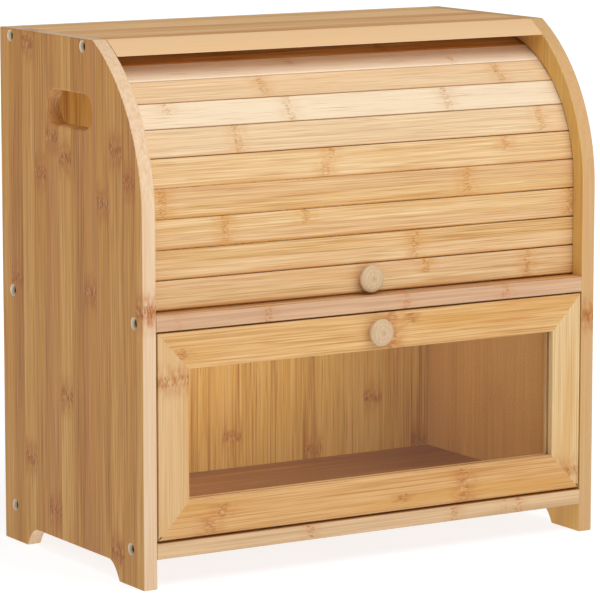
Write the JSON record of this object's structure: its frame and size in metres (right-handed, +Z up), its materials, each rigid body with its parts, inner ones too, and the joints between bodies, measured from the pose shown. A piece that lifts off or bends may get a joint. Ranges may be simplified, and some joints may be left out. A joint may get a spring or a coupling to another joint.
{
  "type": "roll top bread box",
  "caption": "Bamboo bread box with a slatted roll top over an upper store and a drop-front windowed door below, with arched feet and hand slots.",
  "frame": {"origin": "under the middle of the box at floor height, half way between the tips of the door knob and the back", "axes": "+X to the right, +Y to the back, +Z up; the doors face -Y"},
  "size_m": [0.4, 0.2304, 0.396],
  "materials": {
    "panel_bamboo": "satin lacquered bamboo, upright strips",
    "board_bamboo": "satin lacquered bamboo",
    "door_bamboo": "satin lacquered bamboo",
    "slat_bamboo": "satin lacquered bamboo",
    "knob_wood": "fine turned, satin",
    "canvas": "plain woven cotton",
    "acrylic": "clear polished sheet",
    "steel": "zinc plated",
    "dark_steel": "blackened",
    "white_plastic": "moulded"
  },
  "bodies": {
    "cabinet": {"side_panel_left": "panel_bamboo", "side_panel_right": "panel_bamboo", "top_board": "board_bamboo", "middle_shelf": "board_bamboo", "bottom_board": "board_bamboo", "back_panel": "panel_bamboo", "screw_left_top_front": "dark_steel", "screw_left_top_rear": "dark_steel", "screw_left_shelf_front": "dark_steel", "screw_left_shelf_rear": "dark_steel", "screw_left_base_front": "dark_steel", "screw_left_base_rear": "dark_steel", "screw_right_top_front": "dark_steel", "screw_right_top_rear": "dark_steel", "screw_right_shelf_front": "dark_steel", "screw_right_shelf_rear": "dark_steel", "screw_right_base_front": "dark_steel", "screw_right_base_rear": "dark_steel", "door_pivot_pin_left": "steel", "door_pivot_pin_right": "steel", "magnet_catch": "white_plastic", "catch_magnet": "dark_steel"},
    "door": {"door_top_rail": "door_bamboo", "door_bottom_rail": "door_bamboo", "door_stile_left": "door_bamboo", "door_stile_right": "door_bamboo", "door_window": "acrylic", "door_knob": "knob_wood", "door_knob_screw": "steel", "strike_plate": "steel"},
    "roll_top_01": {"slat_01": "slat_bamboo", "cloth_band_01": "canvas", "roll_top_knob": "knob_wood", "roll_top_knob_screw": "steel"},
    "roll_top_02": {"slat_02": "slat_bamboo", "cloth_band_02": "canvas"},
    "roll_top_03": {"slat_03": "slat_bamboo", "cloth_band_03": "canvas"},
    "roll_top_04": {"slat_04": "slat_bamboo", "cloth_band_04": "canvas"},
    "roll_top_05": {"slat_05": "slat_bamboo", "cloth_band_05": "canvas"},
    "roll_top_06": {"slat_06": "slat_bamboo", "cloth_band_06": "canvas"},
    "roll_top_07": {"slat_07": "slat_bamboo", "cloth_band_07": "canvas"},
    "roll_top_08": {"slat_08": "slat_bamboo", "cloth_band_08": "canvas"},
    "roll_top_09": {"slat_09": "slat_bamboo", "cloth_band_09": "canvas"},
    "roll_top_10": {"slat_10": "slat_bamboo", "cloth_band_10": "canvas"},
    "roll_top_11": {"slat_11": "slat_bamboo", "cloth_band_11": "canvas"}
  },
  "joints": [
    {"name": "door_drop", "type": "hinge", "parent": "cabinet", "child": "door", "pos_m": [0, -0.10015, 0.0389], "axis": [1, 0, 0], "range_deg": [0, 90]},
    {"name": "roll_top_open", "type": "hinge", "parent": "cabinet", "child": "roll_top_01", "pos_m": [0, 0.07876, 0.2439], "axis": [-1, 0, 0], "range_deg": [0, 53.02]},
    {"name": "roll_top_slat_02", "type": "hinge", "parent": "cabinet", "child": "roll_top_02", "pos_m": [0, 0.04785, 0.25517], "axis": [-1, 0, 0], "range_deg": [0, 64.87]},
    {"name": "roll_top_slat_03", "type": "hinge", "parent": "cabinet", "child": "roll_top_03", "pos_m": [0, 0.02759, 0.26641], "axis": [-1, 0, 0], "range_deg": [0, 76.7]},
    {"name": "roll_top_slat_04", "type": "hinge", "parent": "cabinet", "child": "roll_top_04", "pos_m": [0, 0.01705, 0.27516], "axis": [-1, 0, 0], "range_deg": [0, 85.68]},
    {"name": "roll_top_slat_05", "type": "hinge", "parent": "cabinet", "child": "roll_top_05", "pos_m": [0, 0.01476, 0.27803], "axis": [-1, 0, 0], "range_deg": [0, 88.38]},
    {"name": "roll_top_slat_06", "type": "hinge", "parent": "cabinet", "child": "roll_top_06", "pos_m": [0, 0.01317, 0.28124], "axis": [-1, 0, 0], "range_deg": [0, 91.15]},
    {"name": "roll_top_slat_07", "type": "hinge", "parent": "cabinet", "child": "roll_top_07", "pos_m": [0, 0.01236, 0.28452], "axis": [-1, 0, 0], "range_deg": [0, 93.92]},
    {"name": "roll_top_slat_08", "type": "hinge", "parent": "cabinet", "child": "roll_top_08", "pos_m": [0, 0.0123, 0.28773], "axis": [-1, 0, 0], "range_deg": [0, 96.69]},
    {"name": "roll_top_slat_09", "type": "hinge", "parent": "cabinet", "child": "roll_top_09", "pos_m": [0, 0.01295, 0.2907], "axis": [-1, 0, 0], "range_deg": [0, 99.47]},
    {"name": "roll_top_slat_10", "type": "hinge", "parent": "cabinet", "child": "roll_top_10", "pos_m": [0, 0.01407, 0.29299], "axis": [-1, 0, 0], "range_deg": [0, 101.91]},
    {"name": "roll_top_slat_11", "type": "hinge", "parent": "cabinet", "child": "roll_top_11", "pos_m": [0, 0.00902, 0.287], "axis": [-1, 0, 0], "range_deg": [0, 94.61]}
  ],
  "couplings": [
    {"joint": "roll_top_slat_02", "follows": "roll_top_open", "ratio": 1.2231},
    {"joint": "roll_top_slat_03", "follows": "roll_top_open", "ratio": 1.4462},
    {"joint": "roll_top_slat_04", "follows": "roll_top_open", "ratio": 1.6156},
    {"joint": "roll_top_slat_05", "follows": "roll_top_open", "ratio": 1.6665},
    {"joint": "roll_top_slat_06", "follows": "roll_top_open", "ratio": 1.7188},
    {"joint": "roll_top_slat_07", "follows": "roll_top_open", "ratio": 1.7711},
    {"joint": "roll_top_slat_08", "follows": "roll_top_open", "ratio": 1.8233},
    {"joint": "roll_top_slat_09", "follows": "roll_top_open", "ratio": 1.8756},
    {"joint": "roll_top_slat_10", "follows": "roll_top_open", "ratio": 1.9218},
    {"joint": "roll_top_slat_11", "follows": "roll_top_open", "ratio": 1.784}
  ]
}
